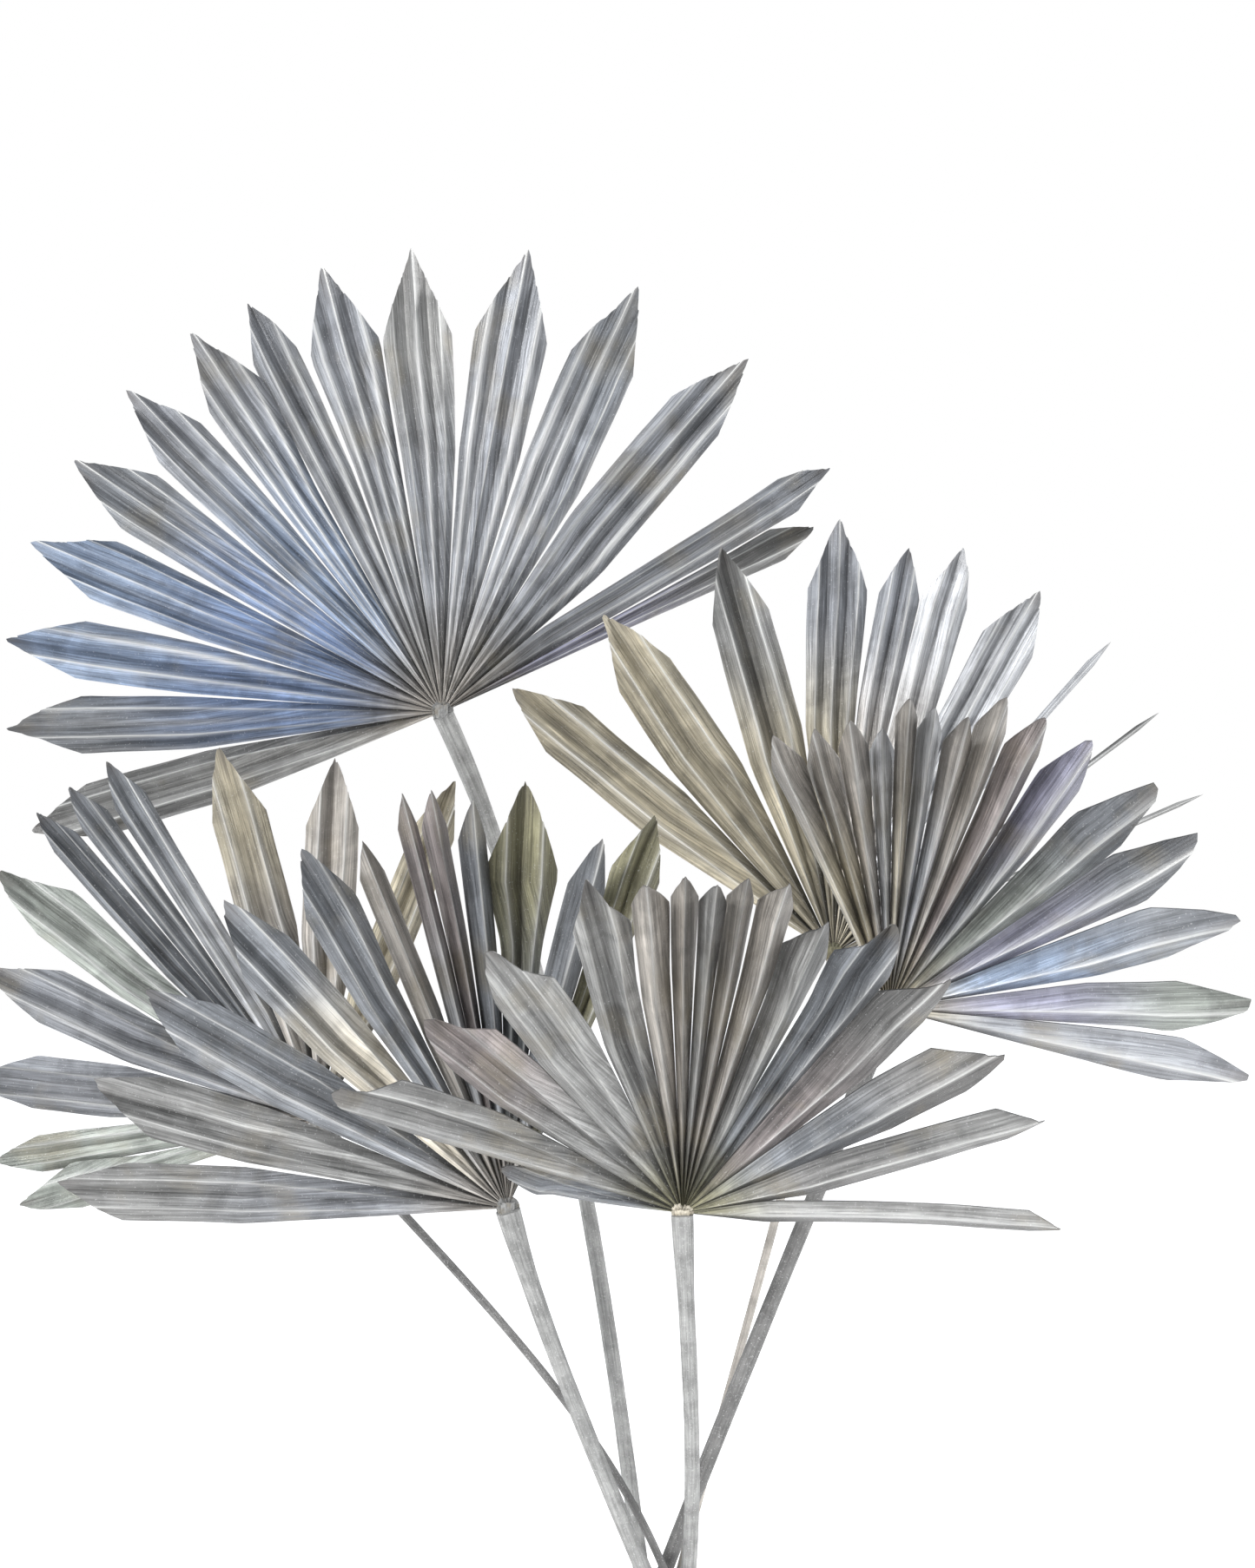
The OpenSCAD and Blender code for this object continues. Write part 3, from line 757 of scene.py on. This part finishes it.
def build_hastula(name, fan, rng):
    """A small domed pad, ribbed where the rays leave it, with a torn square flap in front."""
    place = blade_place(fan)
    piece = Piece()
    around = np.linspace(0, 2 * math.pi, PAD_SIDES, endpoint=False)
    outline = PAD_R * (1 + 0.12 * np.sin(around) + 0.05 * np.sin(3 * around + 1))
    ribs = PAD_RIB_H * np.sin(around * PAD_RIBS + rng.uniform(0, 6))
    points = [[0, -PAD_H, 0]]
    for side in (-1, 1):
        for row in range(1, PAD_ROWS + 1):
            rho = row / PAD_ROWS if side < 0 else 1 - row / (PAD_ROWS + 1)
            dome = PAD_H * math.sqrt(max(0.0, 1 - rho ** 2.6)) + ribs * rho
            for a, reach, height in zip(around, outline, dome):
                points.append([reach * rho * math.cos(a), side * height,
                               reach * rho * math.sin(a)])
    points.append([0, PAD_H, 0])
    points = np.array(points)
    faces = []
    for j in range(PAD_SIDES):
        k = (j + 1) % PAD_SIDES
        faces.append((0, 1 + j, 1 + k))
        for row in range(2 * PAD_ROWS - 1):
            a = 1 + row * PAD_SIDES
            faces.append((a + j, a + PAD_SIDES + j, a + PAD_SIDES + k, a + k))
        a = 1 + (2 * PAD_ROWS - 1) * PAD_SIDES
        faces.append((a + j, len(points) - 1, a + k))
    grain = np.stack([points[:, 2] * HEART_GRAIN, points[:, 0], points[:, 1]], -1)
    uv = points[:, [0, 2]] / HEART_MAP + 0.5
    tone = np.tile(np.array(TONES[fan["pad_tone"]]) * PAD_TONE, (len(points), 1))
    piece.add(place(points), faces, uv=uv, grain=grain, tone=tone)

    u, v = np.meshgrid(np.linspace(-1, 1, FLAP_ROWS), np.linspace(-1, 1, FLAP_ROWS))
    torn = 1 + FLAP_TEAR * rng.uniform(-1, 1, u.shape) * (np.maximum(abs(u), abs(v)) > 0.9)
    lift = -hastula_front(u, v) + FLAP_WAVE * rng.uniform(-1, 1, u.shape)
    upper = np.stack([u * FLAP * torn, lift - FLAP_T, v * FLAP * torn], -1)
    lower = np.stack([u * FLAP * torn, lift + FLAP_T, v * FLAP * torn], -1)
    points = np.concatenate([upper.reshape(-1, 3), lower.reshape(-1, 3)])
    grain = np.stack([points[:, 2] * HEART_GRAIN, points[:, 0], points[:, 1] + 9], -1)
    uv = points[:, [0, 2]] / HEART_MAP + 0.5
    tone = np.tile(TONES[fan["pad_tone"]], (len(points), 1))
    piece.add(place(points), shell_faces(FLAP_ROWS, FLAP_ROWS), uv=uv, grain=grain, tone=tone)
    made = piece.build(f"{name}_heart", pad_skin, sharp=50)
    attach(made, "root")
    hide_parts(f"{name}_hastula")


# ---- The band ----

# Turns of the band, and points round a turn and round its section
LOOPS, RING_STEPS, RING_SIDES = 5, 120, 12
# From an upright stem to the inside of the band; the real stems lean and come closer
BAND_GAP = 1.7
# A loop: from the band's inside to its middle, half its thickness before it is stretched,
# the share of that which is left, and the share of the pitch that it fills
LOOP_OUT, LOOP_HALF, LOOP_STRETCHED, LOOP_FILL = 0.75, 0.74, 0.9, 0.94
# Below 1, the loop's section is squarer than an ellipse
SQUARENESS = 0.6


def build_band(rng):
    """A rubber band wound several times round the stems."""
    inner = TIE_R + TIE_D / 2 + BAND_GAP
    band_h = (band_high[2] - band_low[2]) / MM
    pitch = band_h / LOOPS
    piece = Piece()
    for loop in range(LOOPS):
        turn = np.linspace(0, 2 * math.pi, RING_STEPS, endpoint=False)
        z = TIE_Z / MM - band_h / 2 + pitch * (loop + 0.5) + 0.16 * np.sin(turn + loop * 1.3)
        r = (inner + LOOP_OUT + 0.10 * np.sin(3 * turn + loop)
             + 0.05 * np.sin(7 * turn + 2 * loop))
        section = np.linspace(0, 2 * math.pi, RING_SIDES, endpoint=False)
        fat = LOOP_HALF + 0.02 * rng.uniform(-1, 1, RING_STEPS)
        dr = np.sign(np.cos(section)) * np.abs(np.cos(section)) ** SQUARENESS
        dz = np.sign(np.sin(section)) * np.abs(np.sin(section)) ** SQUARENESS
        radius = r[:, None] + fat[:, None] * dr[None, :] * LOOP_STRETCHED
        height = z[:, None] + (pitch / 2 * LOOP_FILL) * dz[None, :]
        points = np.stack([radius * np.cos(turn)[:, None], radius * np.sin(turn)[:, None],
                           height], -1).reshape(-1, 3)
        faces = []
        for i in range(RING_STEPS):
            a, b = i * RING_SIDES, (i + 1) % RING_STEPS * RING_SIDES
            for j in range(RING_SIDES):
                k = (j + 1) % RING_SIDES
                faces.append((a + j, b + j, b + k, a + k))
        across = np.tile(section / MAP_TURN, RING_STEPS) / LOOPS + loop / LOOPS
        uv = np.stack([np.repeat(turn / MAP_TURN, RING_SIDES), across], -1)
        piece.add(points * MM + np.array(AXIS), faces, uv=uv)
    made = piece.build("rubber_band", rubber, sharp=60)
    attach(made, "root")
    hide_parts("binding_band")


# Seeds: the first fan's, with one more for each next fan, and the band's
FAN_SEED, BAND_SEED = 11, 5

for number, (name, fan) in enumerate(FANS.items()):
    rng = np.random.default_rng(FAN_SEED + number)
    build_blade(name, fan, rng)
    build_stem(name, fan, rng)
    build_hastula(name, fan, rng)
build_band(np.random.default_rng(BAND_SEED))

# ---- Stage, light and camera ----

# Metres across the floor, and its glow, which keeps it as pale as the sky behind
FLOOR_SIZE, FLOOR_GLOW = 12, 0.75
# The sky as the camera sees it, and as a light
SEEN_SKY, SKY_LIGHT = 1.0, 0.55
# Each light's place in metres, power in watts and width in metres. All of them aim at the
# band's axis, LIT_HEIGHT metres up.
LIGHTS = {
    "key": ((-1.3, -1.5, 1.5), 42, 0.7),
    "rim": ((1.4, 0.3, 1.1), 14, 0.5),
    "low": ((0.6, -1.6, 0.25), 6, 0.8),
}
LIT_HEIGHT = 0.36


def build_floor():
    """A floor that is as white to the camera as the sky behind it."""
    bpy.ops.mesh.primitive_plane_add(size=FLOOR_SIZE)
    floor = bpy.context.object
    floor.name = "floor"
    n = Nodes("pale_floor")
    grit = n.noise(n.position(), 3.0)
    n.join(n.blend(grit, (0.86, 0.86, 0.86), (0.88, 0.88, 0.88)),
           n.shader.inputs["Base Color"])
    n.shader.inputs["Roughness"].default_value = 0.9
    n.shader.inputs["Emission Color"].default_value = (1, 1, 1, 1)
    n.shader.inputs["Emission Strength"].default_value = FLOOR_GLOW
    floor.data.materials.append(n.material)


def build_world():
    """White to the camera, and a dimmer sky for light, so that the key light shapes folds."""
    world = bpy.data.worlds.new("studio")
    bpy.context.scene.world = world
    world.use_nodes = True
    tree = world.node_tree
    tree.nodes.clear()
    out = tree.nodes.new("ShaderNodeOutputWorld")
    seen, sky = (tree.nodes.new("ShaderNodeBackground") for _ in range(2))
    seen.inputs["Color"].default_value = (1, 1, 1, 1)
    seen.inputs["Strength"].default_value = SEEN_SKY
    sky.inputs["Color"].default_value = (0.93, 0.96, 1.0, 1)
    sky.inputs["Strength"].default_value = SKY_LIGHT
    path = tree.nodes.new("ShaderNodeLightPath")
    pick = tree.nodes.new("ShaderNodeMixShader")
    tree.links.new(path.outputs["Is Camera Ray"], pick.inputs[0])
    tree.links.new(sky.outputs[0], pick.inputs[1])
    tree.links.new(seen.outputs[0], pick.inputs[2])
    tree.links.new(pick.outputs[0], out.inputs["Surface"])


def add_light(name, place, aim, power, size):
    """A white square light."""
    data = bpy.data.lights.new(name, "AREA")
    data.energy = power
    data.size = size
    made = bpy.data.objects.new(name, data)
    bpy.context.scene.collection.objects.link(made)
    made.location = place
    made.rotation_euler = (Vector(aim) - Vector(place)).to_track_quat("-Z", "Y").to_euler()


# The camera stands level with the fans and looks straight along +Y. Metres: its distance in
# front of the band's axis, its height, how far right of the axis it is, and the height of
# the view at the axis. The sensor is in mm, along the picture's longer side.
VIEW_DISTANCE = 1.5
VIEW_HEIGHT = 0.365
VIEW_SIDE = -0.012
FIELD_H = 0.5057
SENSOR = 36.0


def build_camera():
    """A camera that looks level at the fans from the viewer's side."""
    data = bpy.data.cameras.new("camera")
    data.sensor_width = SENSOR
    data.lens = SENSOR * VIEW_DISTANCE / FIELD_H
    data.clip_start = 0.05
    data.clip_end = 50
    camera = bpy.data.objects.new("camera", data)
    camera.location = (AXIS[0] + VIEW_SIDE, AXIS[1] - VIEW_DISTANCE, VIEW_HEIGHT)
    camera.rotation_euler = (math.pi / 2, 0, 0)
    bpy.context.scene.collection.objects.link(camera)
    bpy.context.scene.camera = camera


build_floor()
build_world()
for name, (place, power, size) in LIGHTS.items():
    add_light(name, place, (AXIS[0], AXIS[1], LIT_HEIGHT), power, size)
build_camera()
bpy.context.scene.view_settings.view_transform = "Standard"
